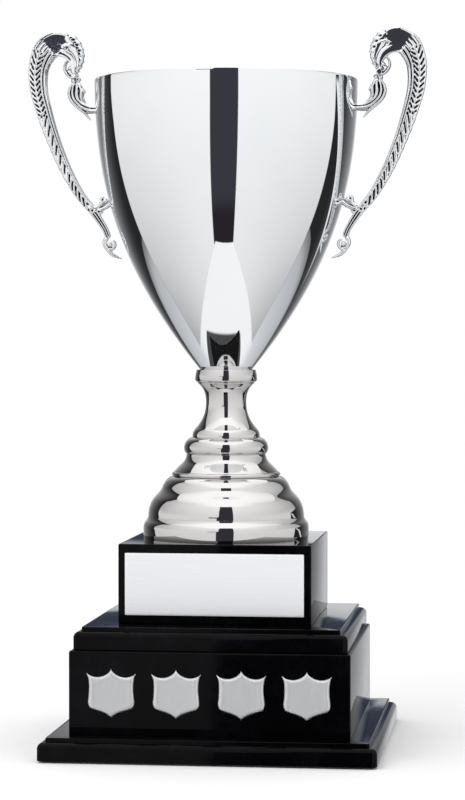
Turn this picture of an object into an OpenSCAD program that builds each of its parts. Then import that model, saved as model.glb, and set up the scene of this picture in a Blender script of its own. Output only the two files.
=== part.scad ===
// Two-handled cup trophy on a three-tier lacquered base.
// +Z is up, the origin is the centre of the felt's underside and the header plate faces -Y.
// Every turned piece is centred on Z, and one tie rod clamps them to the base.

/* [Bowl] */
// Outer radius of the rim
rim_r = 95.3; // [93:0.1:97]
// Height from the bowl's flat bottom to its rim
bowl_h = 210; // [205:1:215]
// Radius of the flat bottom
bowl_floor_r = 19; // [18:0.5:20]
// Thickness of the spun sheet
sheet = 1.2; // [0.8:0.1:1.5]

/* [Stem and foot] */
// Wall of the cast stem pieces
casting = 3; // [2:0.5:4]
// Height of the collar under the bowl
collar_h = 9.4; // [9:0.1:12]
// Radius of the stem at its waist
waist_r = 14.7; // [13:0.1:16]
// Thickness of the disc between stem and foot
ring_h = 2.2; // [1.5:0.1:3]
// Radius of the foot where it stands on the block
foot_r = 60.4; // [58:0.1:62]

/* [Handles] */
// Depth of a handle, front to back, at its thickest
handle_depth = 10; // [8:0.5:12]
// Height of the upper foot above the bowl's bottom
upper_foot_h = 189; // [187:0.5:191]
// Height of the lower foot above the bowl's bottom
lower_foot_h = 122.5; // [121:0.5:124]

/* [Base] */
// Width of the foot board
board_w = 236; // [232:1:244]
// Width of the hollow plinth
plinth_w = 197; // [195:1:200]
// Height of the plinth's panels
plinth_h = 59; // [57:1:65]
// Width of the moulded cap, which stands inside the plinth's edge
cap_w = 192.4; // [188:0.2:194]
// Width of the upper block
block_w = 137; // [134:1:150]
// Height of the upper block
block_h = 56.5; // [54:0.5:60]
// Thickness of the foot board and of the cap
board_t = 16; // [16:0.5:20]
// Thickness of the plinth's panels
panel_t = 12; // [9:1:14]
// Thickness of the felt
felt_t = 1; // [0.8:0.1:2]

/* [Plates] */
// Width of the header plate
plate_w = 127; // [100:1:130]
// Height of the header plate
plate_h = 44; // [30:1:48]
// Thickness of the header plate
plate_t = 0.8; // [0.5:0.1:1.5]
// Width of a year shield across its tips
shield_w = 35; // [30:1:36]
// Height of a year shield from its peak to its point
shield_h = 34; // [30:1:38]
// Depth of a pressed shield
shield_t = 1.6; // [1:0.1:2]
// Thickness of the adhesive tapes
tape_t = 0.3; // [0.2:0.1:0.6]

/* [Hidden] */
$fn = 96;

// Heights of the joints between the stacked pieces, from the table up
z_board = felt_t;
z_plinth = z_board + board_t;
z_cap = z_plinth + plinth_h;
z_block = z_cap + board_t;
z_foot = z_block + block_h;
foot_rim_h = 15.9;
dome_h = 29.9;
cone_h = 12.9;
knop_h = 12.4;
neck_h = 39.8;
z_dome = z_foot + foot_rim_h;
z_ring = z_dome + dome_h;
z_cone = z_ring + ring_h;
z_knop = z_cone + cone_h;
z_neck = z_knop + knop_h;
z_collar = z_neck + neck_h;
z_bowl = z_collar + collar_h;
z_rim = z_bowl + bowl_h;

// M8 tie rod, nuts and washers
rod_r = 4;
rod_hole_r = 4.3;
fit_gap = 0.05;
nut_h = 6.5;
nut_corner_r = 7.5;
washer_r = 8;
washer_t = 1.6;
rod_past_nut = 3;

// M4 handle screws
screw_r = 2;
screw_head_r = 3.8;
screw_head_h = 2.4;
screw_reach = 8;
screw_washer_r = 4.6;
screw_washer_t = 1;
// A flat washer bears on the hollow side of the bowl at its two ends
washer_seat = sheet + 0.15;
boss_r = 4.3;
boss_h = 9.5;

// Wood screws and dowels
wood_screw_r = 2;
wood_screw_head_r = 4;
wood_screw_l = 40;
dowel_r = 4;
dowel_l = 24;
dowel_in_cap = 10;
corner_block_w = 25;
block_screw_x = 40;

// Edge moulding of the foot board and the cap
lip_h = 3;
lip_in = 0.9;
edge_round = 4.5;
panel_edge_r = 1.5;

// ---- curves ----

// Point at t on a cubic curve with control points a, b, c and d
function cubic(a, b, c, d, t) =
    pow(1 - t, 3) * a + 3 * t * pow(1 - t, 2) * b + 3 * t * t * (1 - t) * c + pow(t, 3) * d;

// Points along that curve, without its last one
function arc_points(a, b, c, d, steps) =
    [for (i = [0:steps - 1]) cubic(a, b, c, d, i / steps)];

// The curve moved sideways by d, to its left as it runs
function beside(points, d) =
    [for (i = [0:len(points) - 1])
        let (
            before = points[max(i - 1, 0)],
            after = points[min(i + 1, len(points) - 1)],
            along = (after - before) / norm(after - before)
        )
        points[i] + d * [-along[1], along[0]]];

// Radius of a profile of [radius, height] points at height z
function radius_at(points, z) = lookup(z, [for (p = points) [p[1], p[0]]]);

// Smooth curve through the given points, each [x, z, half width, half depth]
function through(points, steps) =
    [for (i = [0:len(points) - 2], j = [0:steps - 1])
        let (
            a = points[max(i - 1, 0)],
            b = points[i],
            c = points[i + 1],
            d = points[min(i + 2, len(points) - 1)]
        )
        cubic(b, b + (c - a) / 6, c - (d - b) / 6, c, j / steps),
    points[len(points) - 1]];

// ---- profiles, each a list of [radius, height] from the bottom up ----

// The outside of the bowl: a cone-like lower half that turns upright at the rim
bowl_steps = 28;
bowl_outer = concat(
    arc_points([bowl_floor_r, z_bowl], [82.2, z_bowl + 77.6], [rim_r, z_rim - 69.7],
        [rim_r, z_rim], bowl_steps),
    [[rim_r, z_rim]]
);
bowl_inner = beside(bowl_outer, sheet);

collar_profile = [
    [20.8, z_collar], [22.2, z_collar + 0.9], [22.7, z_collar + 2],
    [22.4, z_bowl - 4], [21.6, z_bowl - 0.4], [21.2, z_bowl]
];

// A convex lip, a hollow waist and a flare up to the collar
neck_profile = concat(
    arc_points([24.6, z_neck], [24.7, z_neck + 3.2], [23.6, z_neck + 5], [22.4, z_neck + 6.2], 6),
    arc_points([22.4, z_neck + 6.2], [18.2, z_neck + 11], [waist_r, z_neck + 16.4],
        [waist_r, z_neck + 25.4], 10),
    arc_points([waist_r, z_neck + 25.4], [waist_r, z_neck + 31.4], [16.4, z_neck + 36],
        [20.4, z_collar - 0.8], 8),
    [[20.4, z_collar - 0.8], [20.8, z_collar]]
);

knop_profile = concat(
    [[28.6, z_knop]],
    arc_points([28.6, z_knop + 0.4], [31.4, z_knop + 1.6], [31.6, z_knop + 8.4],
        [27.2, z_neck - 1.2], 10),
    [[27.2, z_neck - 1.2], [24.9, z_neck]]
);

cone_profile = concat(
    arc_points([37.2, z_cone], [33.2, z_cone + 4.2], [29.4, z_cone + 8.2], [28.6, z_knop], 10),
    [[28.6, z_knop]]
);

// Two convex bands that meet in a crease
crease_h = 21.3;
dome_profile = concat(
    arc_points([56.7, z_dome], [56.2, z_dome + 10.8], [51, z_dome + 16.6],
        [46, z_dome + crease_h], 12),
    arc_points([46, z_dome + crease_h], [44.8, z_dome + 24], [43.2, z_dome + 27.2],
        [39.3, z_ring], 8),
    [[39.3, z_ring]]
);

foot_rim_profile = concat(
    [[foot_r, z_foot]],
    arc_points([foot_r, z_foot + 7.4], [foot_r - 0.2, z_foot + 12.2], [foot_r - 2, z_foot + 14.2],
        [foot_r - 3.5, z_dome], 8),
    [[foot_r - 3.5, z_dome]]
);

// ---- shapes that repeat ----

module turned(points) {
    rotate_extrude() polygon(points);
}

// A turned casting: a profile, bored for the tie rod and cored out behind its wall
module cored_casting(profile) {
    bottom = profile[0][1];
    top = profile[len(profile) - 1][1];
    floor_z = bottom + casting;
    roof_z = top - casting;
    core = concat(
        [[0, floor_z], [radius_at(profile, floor_z) - casting, floor_z]],
        [for (p = profile) if (p[1] > floor_z && p[1] < roof_z) [p[0] - casting, p[1]]],
        [[radius_at(profile, roof_z) - casting, roof_z], [0, roof_z]]
    );
    difference() {
        turned(concat([[0, bottom]], profile, [[0, top]]));
        turned(core);
        translate([0, 0, bottom - 1]) cylinder(r = rod_hole_r, h = top - bottom + 2);
    }
}

module washer(outer_r, hole_r, thickness) {
    difference() {
        cylinder(r = outer_r, h = thickness);
        translate([0, 0, -1]) cylinder(r = hole_r, h = thickness + 2);
    }
}

module rod_nut() {
    difference() {
        cylinder(r = nut_corner_r, h = nut_h, $fn = 6);
        translate([0, 0, -1]) cylinder(r = rod_r + fit_gap, h = nut_h + 2);
    }
}

// A countersunk wood screw that points up from its flat head
module wood_screw(extra = 0) {
    head_h = wood_screw_head_r - wood_screw_r;
    cylinder(r = wood_screw_r + extra, h = wood_screw_l + extra);
    cylinder(r1 = wood_screw_head_r + extra, r2 = wood_screw_r + extra, h = head_h);
}

// The four corners of a square, d from the middle
module at_corners(d) {
    for (x = [-d, d], y = [-d, d]) translate([x, y, 0]) children();
}

// Cross-section of a moulded board: a lip, a quarter round and an upright edge
module moulding(width) {
    half = width / 2;
    step_z = board_t - lip_h;
    round_z = step_z - edge_round;
    lip_half = half - edge_round - lip_in;
    translate([-half, 0]) square([width, round_z]);
    translate([-half + edge_round, 0]) square([width - 2 * edge_round, step_z]);
    translate([-lip_half, 0]) square([2 * lip_half, board_t]);
    for (x = [-half + edge_round, half - edge_round]) translate([x, round_z]) circle(edge_round);
}

// A square block whose four sides all have the given cross-section
module square_block(length) {
    intersection() {
        rotate([90, 0, 0]) linear_extrude(length, center = true) children();
        rotate([90, 0, 90]) linear_extrude(length, center = true) children();
    }
}

module moulded_board(width) {
    square_block(width + 2) moulding(width);
}

// Cross-section of the plinth, with its upper edges rounded
module plinth_section() {
    half = plinth_w / 2;
    translate([-half, 0]) square([plinth_w, plinth_h - panel_edge_r]);
    translate([-half + panel_edge_r, 0]) square([plinth_w - 2 * panel_edge_r, plinth_h]);
    for (x = [-half + panel_edge_r, half - panel_edge_r])
        translate([x, plinth_h - panel_edge_r]) circle(panel_edge_r);
}

// One mitred panel, on the side that faces -Y before it is turned by angle
module plinth_panel(angle) {
    outer = plinth_w / 2;
    inner = outer - panel_t;
    rotate([0, 0, angle]) translate([0, 0, z_plinth]) intersection() {
        square_block(plinth_w + 2) plinth_section();
        linear_extrude(plinth_h)
            polygon([[-outer, -outer], [outer, -outer], [inner, -inner], [-inner, -inner]]);
    }
}

// Right side of a shield's outline from its top peak round to its lower point, drawn 35 wide
// and 35.6 high: a hollow shoulder up to the tip, a waisted side, a corner and a hollow foot
shield_side = concat(
    arc_points([0, 17.8], [3.6, 11.5], [12.1, 10.2], [17.5, 15], 8),
    arc_points([17.5, 15], [15.2, 11], [15.2, 3], [16.3, -5], 8),
    arc_points([16.3, -5], [16.5, -9], [15.4, -10.9], [13, -11.5], 6),
    arc_points([13, -11.5], [9, -13.2], [4.5, -13.4], [0, -17.8], 8)
);

module shield_outline() {
    last = len(shield_side) - 1;
    other_side = [for (i = [last:-1:1]) [-shield_side[i][0], shield_side[i][1]]];
    drawn = concat(shield_side, [[0, -17.8]], other_side);
    polygon([for (p = drawn) [p[0] * shield_w / 35, p[1] * shield_h / 35.6]]);
}

// Moves a flat shape drawn in X and Y onto a face that looks to -Y, its back at y
module on_front(x, y, z) {
    translate([x, y, z]) rotate([90, 0, 0]) children();
}

shield_count = 4;
shield_pitch = plinth_w / (shield_count + 0.32);
shield_z = z_plinth + plinth_h / 2;
function shield_x(number) = (number - (shield_count + 1) / 2) * shield_pitch;

// ---- handle ----

// Stretches of the casting in the plane of the handle: [x, height above the bowl's bottom,
// half width, half depth]. A deep arched head tapers down to a thin tail.
deep = handle_depth / 2;
handle_body = [
    [111, 232.5, 7, 0.8 * deep], [116.5, 237.5, 8.4, deep], [125, 238, 9.2, deep],
    [133.5, 232, 8.8, deep], [138.4, 220, 7.6, deep], [138, 204, 6.6, 0.92 * deep],
    [134, 188, 5.8, 0.84 * deep], [127.3, 168, 4.8, 0.8 * deep], [118.5, 147, 3.9, 0.76 * deep],
    [108, 128, 3.3, 0.72 * deep], [97, 114.5, 3.1, 0.7 * deep], [89, 102, 2.6, 0.6 * deep],
    [86, 93, 3, 0.6 * deep]
];
handle_curl = [
    [113, 236, 6, 0.8 * deep], [106.5, 230.5, 5, 0.8 * deep], [105.5, 222.5, 4, 0.7 * deep],
    [109, 216.5, 2.6, 0.7 * deep], [112.5, 214, 1.8, 0.6 * deep]
];
handle_leg = [
    [112.5, 215, 2.4, 0.6 * deep], [111, 208.5, 3.2, 0.6 * deep], [111.2, 202, 4.4, 0.8 * deep],
    [108.5, 195, 4.8, 0.8 * deep], [103, 190.5, 3.8, 0.8 * deep], [92, 189.5, 3.8, 0.8 * deep]
];
handle_tail_tip = [
    [86.5, 93, 4.2, 0.6 * deep], [84, 85.5, 2.4, 0.5 * deep], [77, 80.8, 0.6, 0.2 * deep]
];
handle_lower_foot = [
    [100, 117, 2.6, 0.6 * deep], [93.5, 119, 2.6, 0.7 * deep], [87, 121.5, 3.4, 0.8 * deep],
    [80, 122.5, 3.6, 0.8 * deep]
];
scroll_ball = [113.5, 219.8, 4.6];
foot_ball = [88.6, 121.6, 4.2];
tail_ball = [86, 91, 4.8];
ring_sides = 12;

// A bar of oval section along one stretch of the handle
module handle_bar(stretch, steps) {
    line = through(stretch, steps);
    last = len(line) - 1;
    rings = [for (i = [0:last])
        let (
            before = line[max(i - 1, 0)],
            after = line[min(i + 1, last)],
            gap = [after[0] - before[0], after[1] - before[1]],
            along = gap / norm(gap),
            here = line[i]
        )
        for (k = [0:ring_sides - 1])
            let (turn = 360 * k / ring_sides, out = here[2] * cos(turn))
            [here[0] - along[1] * out, here[3] * sin(turn), here[1] + along[0] * out]];
    sides = [for (i = [0:last - 1], k = [0:ring_sides - 1])
        let (a = i * ring_sides, b = a + ring_sides, next = (k + 1) % ring_sides)
        [a + k, a + next, b + next, b + k]];
    start_cap = [for (k = [ring_sides - 1:-1:0]) k];
    end_cap = [for (k = [0:ring_sides - 1]) last * ring_sides + k];
    polyhedron(rings, concat([start_cap], sides, [end_cap]), convexity = 6);
}

// A round boss or ball-shaped scroll seen as a short drum
module drum(place, depth) {
    translate([place[0], 0, place[1]]) rotate([90, 0, 0])
        cylinder(r = place[2], h = depth, center = true);
}

// Puts a shape that points along +X on the bowl's wall, square to it, at height h
module square_to_bowl(h) {
    step = 2;
    z = z_bowl + h;
    slope = (radius_at(bowl_outer, z + step) - radius_at(bowl_outer, z - step)) / (2 * step);
    translate([radius_at(bowl_outer, z), 0, z]) rotate([0, 90 + atan(slope), 0]) children();
}

module at_handle_feet() {
    for (h = [upper_foot_h, lower_foot_h]) square_to_bowl(h) children();
}

// The space inside the outer surface of the bowl, grown by gap
module bowl_space(gap) {
    turned(concat([[0, z_bowl]], [for (p = bowl_outer) [p[0] + gap, p[1]]], [[0, z_rim]]));
}

module handle() {
    difference() {
        union() {
            translate([0, 0, z_bowl]) {
                handle_bar(handle_body, 4);
                handle_bar(handle_curl, 3);
                handle_bar(handle_leg, 3);
                handle_bar(handle_lower_foot, 3);
                handle_bar(handle_tail_tip, 3);
                drum(scroll_ball, handle_depth);
                drum(foot_ball, 0.8 * handle_depth);
                drum(tail_ball, 0.7 * handle_depth);
            }
            at_handle_feet() translate([0, 0, -1]) cylinder(r = boss_r, h = boss_h);
        }
        bowl_space(fit_gap);
        at_handle_feet() translate([0, 0, -1]) cylinder(r = screw_r + fit_gap, h = screw_reach + 1.2);
    }
}

// ---- cup ----

module bowl() {
    color("gainsboro") difference() {
        turned(concat(
            [[0, z_bowl]],
            bowl_outer,
            [for (i = [len(bowl_inner) - 1:-1:0]) if (bowl_inner[i][1] > z_bowl + sheet) bowl_inner[i]],
            [[radius_at(bowl_inner, z_bowl + sheet), z_bowl + sheet], [0, z_bowl + sheet]]
        ));
        translate([0, 0, z_bowl - 1]) cylinder(r = rod_hole_r, h = sheet + 2);
        for (side = [0, 180]) rotate([0, 0, side]) at_handle_feet()
            translate([0, 0, -5]) cylinder(r = screw_r + 2 * fit_gap, h = 10);
    }
}

module handle_right() {
    color("gainsboro") handle();
}

module handle_left() {
    color("gainsboro") mirror([1, 0, 0]) handle();
}

module handle_screws() {
    seat = washer_seat + screw_washer_t;
    color("silver") for (side = [0, 180]) rotate([0, 0, side]) at_handle_feet() {
        translate([0, 0, -seat]) cylinder(r = screw_r, h = seat + screw_reach);
        translate([0, 0, -seat - screw_head_h]) cylinder(r = screw_head_r, h = screw_head_h);
    }
}

module handle_washers() {
    color("silver") for (side = [0, 180]) rotate([0, 0, side]) at_handle_feet()
        translate([0, 0, -washer_seat - screw_washer_t])
            washer(screw_washer_r, screw_r + 2 * fit_gap, screw_washer_t);
}

module bowl_collar() {
    color("lightgray") cored_casting(collar_profile);
}

module stem_neck() {
    color("lightgray") cored_casting(neck_profile);
}

module stem_knop() {
    color("lightgray") cored_casting(knop_profile);
}

module stem_cone() {
    color("lightgray") cored_casting(cone_profile);
}

module stem_ring() {
    half = ring_h / 2;
    edge_r = 38.6;
    color("lightgray") difference() {
        union() {
            translate([0, 0, z_ring]) cylinder(r = edge_r - half, h = ring_h);
            translate([0, 0, z_ring + half]) rotate_extrude()
                translate([edge_r - half, 0]) circle(half);
        }
        translate([0, 0, z_ring - 1]) cylinder(r = rod_hole_r, h = ring_h + 2);
    }
}

// A spun shell: the profile's wall and a flat top, bored for the tie rod
module foot_dome() {
    wall_line = [for (p = dome_profile) if (p[1] < z_ring - sheet) [p[0] - sheet, p[1]]];
    color("lightgray") difference() {
        turned(concat([[0, z_dome]], dome_profile, [[0, z_ring]]));
        turned(concat(
            [[0, z_dome - 1], [wall_line[0][0], z_dome - 1]],
            wall_line,
            [[radius_at(dome_profile, z_ring - sheet) - sheet, z_ring - sheet], [0, z_ring - sheet]]
        ));
        translate([0, 0, z_ring - 5]) cylinder(r = rod_hole_r, h = 10);
    }
}

// An open ring with a flange under the dome's edge
module foot_rim() {
    flange_r = 53;
    inside = [for (p = foot_rim_profile) if (p[1] < z_dome - sheet) [p[0] - sheet, p[1]]];
    color("lightgray") difference() {
        turned(concat([[flange_r, z_foot]], foot_rim_profile, [[flange_r, z_dome]]));
        turned(concat(
            [[flange_r - 1, z_foot - 1], [inside[0][0], z_foot - 1]],
            inside,
            [
                [radius_at(foot_rim_profile, z_dome - sheet) - sheet, z_dome - sheet],
                [flange_r - 1, z_dome - sheet]
            ]
        ));
    }
}

// A moulded disc that centres the foot on the rod, with a tube up to the dome's flat top
module foot_insert() {
    disc_r = foot_r - sheet - 0.5;
    color("ivory") difference() {
        union() {
            translate([0, 0, z_foot]) cylinder(r = disc_r, h = casting);
            translate([0, 0, z_foot]) cylinder(r = 12, h = z_ring - sheet - z_foot);
            for (turn = [0:60:300]) rotate([0, 0, turn])
                translate([10, -1, z_foot]) cube([36, 2, 14]);
        }
        translate([0, 0, z_foot - 1]) cylinder(r = rod_hole_r, h = z_ring - z_foot);
    }
}

// ---- clamping hardware ----

rod_bottom = z_cap - washer_t - nut_h - rod_past_nut;
rod_top = z_bowl + sheet + washer_t + nut_h + rod_past_nut;

module tie_rod() {
    color("silver") translate([0, 0, rod_bottom]) cylinder(r = rod_r, h = rod_top - rod_bottom);
}

module bowl_washer() {
    color("silver") translate([0, 0, z_bowl + sheet]) washer(washer_r, rod_hole_r, washer_t);
}

module bowl_nut() {
    color("silver") translate([0, 0, z_bowl + sheet + washer_t]) rod_nut();
}

module base_washer() {
    color("silver") translate([0, 0, z_cap - washer_t]) washer(washer_r, rod_hole_r, washer_t);
}

module base_nut() {
    color("silver") translate([0, 0, z_cap - washer_t - nut_h]) rod_nut();
}

// ---- base ----

module at_block_screws() {
    for (x = [-block_screw_x, block_screw_x]) translate([x, 0, z_cap]) children();
}

module upper_block() {
    color("black") difference() {
        translate([-block_w / 2, -block_w / 2, z_block]) cube([block_w, block_w, block_h]);
        translate([0, 0, z_block - 1]) cylinder(r = rod_hole_r, h = block_h + 2);
        at_block_screws() wood_screw(fit_gap);
    }
}

module block_screws() {
    color("goldenrod") at_block_screws() wood_screw();
}

module header_plate_tape() {
    color("white") on_front(0, -block_w / 2, z_block + block_h / 2)
        linear_extrude(tape_t) square([plate_w - 4, plate_h - 4], center = true);
}

module header_plate() {
    color("whitesmoke") on_front(0, -block_w / 2 - tape_t, z_block + block_h / 2)
        linear_extrude(plate_t) square([plate_w, plate_h], center = true);
}

corner_middle = plinth_w / 2 - panel_t - corner_block_w / 2;

module at_dowels() {
    at_corners(corner_middle) translate([0, 0, z_cap + dowel_in_cap - dowel_l]) children();
}

module plinth_cap() {
    color("black") difference() {
        translate([0, 0, z_cap]) moulded_board(cap_w);
        translate([0, 0, z_cap - 1]) cylinder(r = rod_hole_r, h = board_t + 2);
        at_block_screws() wood_screw(fit_gap);
        at_dowels() cylinder(r = dowel_r + fit_gap, h = dowel_l + fit_gap);
    }
}

module plinth_front() {
    color("black") plinth_panel(0);
}

module plinth_right() {
    color("black") plinth_panel(90);
}

module plinth_back() {
    color("black") plinth_panel(180);
}

module plinth_left() {
    color("black") plinth_panel(270);
}

module corner_blocks() {
    color("burlywood") difference() {
        at_corners(corner_middle) translate([-corner_block_w / 2, -corner_block_w / 2, z_plinth])
            cube([corner_block_w, corner_block_w, plinth_h]);
        at_dowels() translate([0, 0, -fit_gap]) cylinder(r = dowel_r + fit_gap, h = dowel_l);
        at_corners(corner_middle) translate([0, 0, z_board]) wood_screw(fit_gap);
    }
}

module cap_dowels() {
    color("tan") at_dowels() cylinder(r = dowel_r, h = dowel_l);
}

module base_board() {
    color("black") difference() {
        translate([0, 0, z_board]) moulded_board(board_w);
        at_corners(corner_middle) translate([0, 0, z_board]) wood_screw(fit_gap);
    }
}

module base_screws() {
    color("goldenrod") at_corners(corner_middle) translate([0, 0, z_board]) wood_screw();
}

module base_felt() {
    felt_w = board_w - 8;
    color("darkgreen") translate([-felt_w / 2, -felt_w / 2, 0]) cube([felt_w, felt_w, felt_t]);
}

module year_shield(number) {
    color("lightgray") on_front(shield_x(number), -plinth_w / 2 - tape_t, shield_z)
        linear_extrude(shield_t) shield_outline();
}

module shield_tapes() {
    color("white") for (number = [1:shield_count])
        on_front(shield_x(number), -plinth_w / 2, shield_z)
            linear_extrude(tape_t) square([22, 18], center = true);
}

bowl();
handle_left();
handle_right();
handle_screws();
handle_washers();
bowl_collar();
stem_neck();
stem_knop();
stem_cone();
stem_ring();
foot_dome();
foot_rim();
foot_insert();
tie_rod();
bowl_nut();
bowl_washer();
base_nut();
base_washer();
upper_block();
header_plate();
header_plate_tape();
block_screws();
plinth_cap();
plinth_front();
plinth_back();
plinth_left();
plinth_right();
corner_blocks();
cap_dowels();
base_board();
base_screws();
base_felt();
year_shield(1);  // year_shield_1
year_shield(2);  // year_shield_2
year_shield(3);  // year_shield_3
year_shield(4);  // year_shield_4
shield_tapes();
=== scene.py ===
"""Looks of the cup trophy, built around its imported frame. Sizes are in millimetres until a mesh is made."""
import math
from functools import partialmethod

import bmesh
import bpy
import numpy as np
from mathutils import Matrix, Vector
from mathutils.geometry import delaunay_2d_cdt


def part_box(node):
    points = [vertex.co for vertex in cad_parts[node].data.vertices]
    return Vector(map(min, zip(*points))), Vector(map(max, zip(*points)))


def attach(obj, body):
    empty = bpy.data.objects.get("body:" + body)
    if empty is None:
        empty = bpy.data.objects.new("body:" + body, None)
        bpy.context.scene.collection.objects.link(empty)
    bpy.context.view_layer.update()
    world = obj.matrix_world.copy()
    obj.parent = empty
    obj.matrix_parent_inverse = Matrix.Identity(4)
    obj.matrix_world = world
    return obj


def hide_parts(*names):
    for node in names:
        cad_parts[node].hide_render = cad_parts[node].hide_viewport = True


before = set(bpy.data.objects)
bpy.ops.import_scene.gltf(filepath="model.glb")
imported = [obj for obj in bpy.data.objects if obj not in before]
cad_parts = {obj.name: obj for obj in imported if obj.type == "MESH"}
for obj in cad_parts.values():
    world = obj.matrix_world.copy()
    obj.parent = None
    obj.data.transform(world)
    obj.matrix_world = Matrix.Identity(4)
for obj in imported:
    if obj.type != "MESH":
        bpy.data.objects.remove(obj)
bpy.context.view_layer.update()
MM = 0.001
TAU = 2 * math.pi


# ---- places, from the frame ----

def low(node):
    return np.array(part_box(node)[0]) / MM


def high(node):
    return np.array(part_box(node)[1]) / MM


Z_RIM = high("bowl")[2]
Z_BOWL = low("bowl")[2]
Z_COLLAR = low("bowl_collar")[2]
Z_NECK = low("stem_neck")[2]
Z_KNOP = low("stem_knop")[2]
Z_CONE = low("stem_cone")[2]
Z_RING = low("stem_ring")[2]
Z_DOME = low("foot_dome")[2]
Z_FOOT = low("foot_rim")[2]
Z_BLOCK = low("upper_block")[2]
Z_CAP = low("plinth_cap")[2]
Z_PLINTH = low("plinth_front")[2]
Z_BOARD = low("base_board")[2]
SHEET = 1.2
ROD_HOLE = 4.3
BOWL_RADIUS = 95.3


def configured(thing, **settings):
    for key, value in settings.items():
        setattr(thing, key, value)
    return thing


def linked(name, data):
    """A new object of this data in the scene"""
    thing = bpy.data.objects.new(name, data)
    bpy.context.scene.collection.objects.link(thing)
    return thing


# ---- camera ----

AZIMUTH = math.radians(7.09)
CAMERA_AWAY = 1.894
CAMERA_HEIGHT = 0.2973
PITCH = math.radians(1.47)
AIM = math.radians(0.14)


def add_camera():
    camera = linked("camera", configured(bpy.data.cameras.new("camera"), lens=117, sensor_width=36))
    camera.location = (math.sin(AZIMUTH) * CAMERA_AWAY, -math.cos(AZIMUTH) * CAMERA_AWAY, CAMERA_HEIGHT)
    camera.rotation_euler = (math.pi / 2 - PITCH, 0, AZIMUTH - AIM)
    bpy.context.scene.camera = camera


# ---- shader nodes ----

WHITE = (1.0, 1.0, 1.0)


class Nodes:
    """Short calls that add shader nodes to one tree. An input is a number, a tuple or a node's output."""

    def __init__(self, owner):
        self.owner = configured(owner, use_nodes=True)
        self.tree = owner.node_tree
        self.tree.nodes.clear()

    def add(self, kind, inputs=(), out=0, **settings):
        """A node with these pairs of an input and its value. It gives one of its outputs."""
        node = configured(self.tree.nodes.new(kind), **settings)
        for key, value in inputs:
            self.feed(node.inputs[key], value)
        return node.outputs[out]

    def feed(self, socket, value):
        if isinstance(value, bpy.types.NodeSocket):
            self.tree.links.new(value, socket)
        elif hasattr(socket.default_value, "__len__") and len(socket.default_value) == 4 and len(value) == 3:
            socket.default_value = (*value, 1)
        else:
            socket.default_value = value

    def math(self, operation, *values):
        return self.add("ShaderNodeMath", enumerate(values), operation=operation)

    def times(self, first, *others):
        for value in others:
            first = self.math("MULTIPLY", first, value)
        return first

    plus = partialmethod(math, "ADD")
    minus = partialmethod(math, "SUBTRACT")
    larger = partialmethod(math, "MAXIMUM")
    ratio = partialmethod(math, "DIVIDE")
    size = partialmethod(math, "ABSOLUTE")

    def ramp(self, value, x0, x1, y0=0.0, y1=1.0, kind="SMOOTHSTEP"):
        """y0 to y1 as value goes from x0 to x1, with soft ends"""
        inputs = enumerate((value, x0, x1, y0, y1))
        return self.add("ShaderNodeMapRange", inputs, interpolation_type=kind)

    def slope(self, value, x0, x1, y0=0.0, y1=1.0):
        """y0 to y1 in a straight line as value goes from x0 to x1"""
        return self.ramp(value, x0, x1, y0, y1, "LINEAR")

    def blend(self, factor, a, b):
        """Number a at factor 0, b at factor 1"""
        return self.plus(self.times(self.minus(1, factor), a), self.times(factor, b))

    def grey(self, value):
        return self.add("ShaderNodeCombineColor", enumerate([value] * 3))

    def mix(self, factor, a, b, kind="MIX"):
        """Colour a at factor 0, b at factor 1"""
        inputs = (0, factor), (6, a), (7, b)
        return self.add("ShaderNodeMix", inputs, 2, data_type="RGBA", blend_type=kind)

    def noise(self, scale, detail=3.0, stretch=(1, 1, 1), roughness=0.5):
        """Noise over the piece, in metres, stretched"""
        place = self.add("ShaderNodeTexCoord", out="Object")
        place = self.add("ShaderNodeMapping", (("Vector", place), ("Scale", stretch)))
        inputs = ("Vector", place), ("Scale", scale), ("Detail", detail), ("Roughness", roughness)
        return self.add("ShaderNodeTexNoise", inputs, "Fac")

    def bump(self, height, depth, strength):
        inputs = ("Height", height), ("Distance", depth), ("Strength", strength)
        return self.add("ShaderNodeBump", inputs)

    def surface(self, color, roughness, normal, **settings):
        inputs = [("Base Color", color), ("Roughness", roughness), ("Normal", normal)]
        inputs += [(name.replace("_", " "), value) for name, value in settings.items()]
        return self.out("Material", self.add("ShaderNodeBsdfPrincipled", inputs))

    def colored(self, kind, color):
        """A shader of one colour"""
        return self.add(kind, [("Color", color)])

    def choice(self, factor, a, b):
        """Shader a at factor 0, b at factor 1"""
        return self.add("ShaderNodeMixShader", enumerate((factor, a, b)))

    def out(self, kind, shader):
        """Ends the tree with this shader, and gives the material or world"""
        self.feed(self.tree.nodes.new("ShaderNodeOutput" + kind).inputs["Surface"], shader)
        return self.owner


def new_material(name):
    return Nodes(bpy.data.materials.new(name))


def plated(name, color, shade, roughness):
    """Polished plate: faint cloudy tint, fine wipe marks in the roughness and a hair of buffing relief"""
    n = new_material(name)
    cloud = n.noise(18, 4)
    wipe = n.noise(420, 5, roughness=0.65)
    tint = n.mix(n.ramp(cloud, 0.35, 0.7), color, shade)
    wiped = n.ramp(wipe, 0.4, 0.75, roughness * 0.6, roughness * 1.5)
    rough = n.plus(wiped, n.ramp(cloud, 0.5, 0.8, 0, 0.01))
    return n.surface(tint, rough, n.bump(wipe, 2e-6, 0.25), Metallic=1.0)


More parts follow.
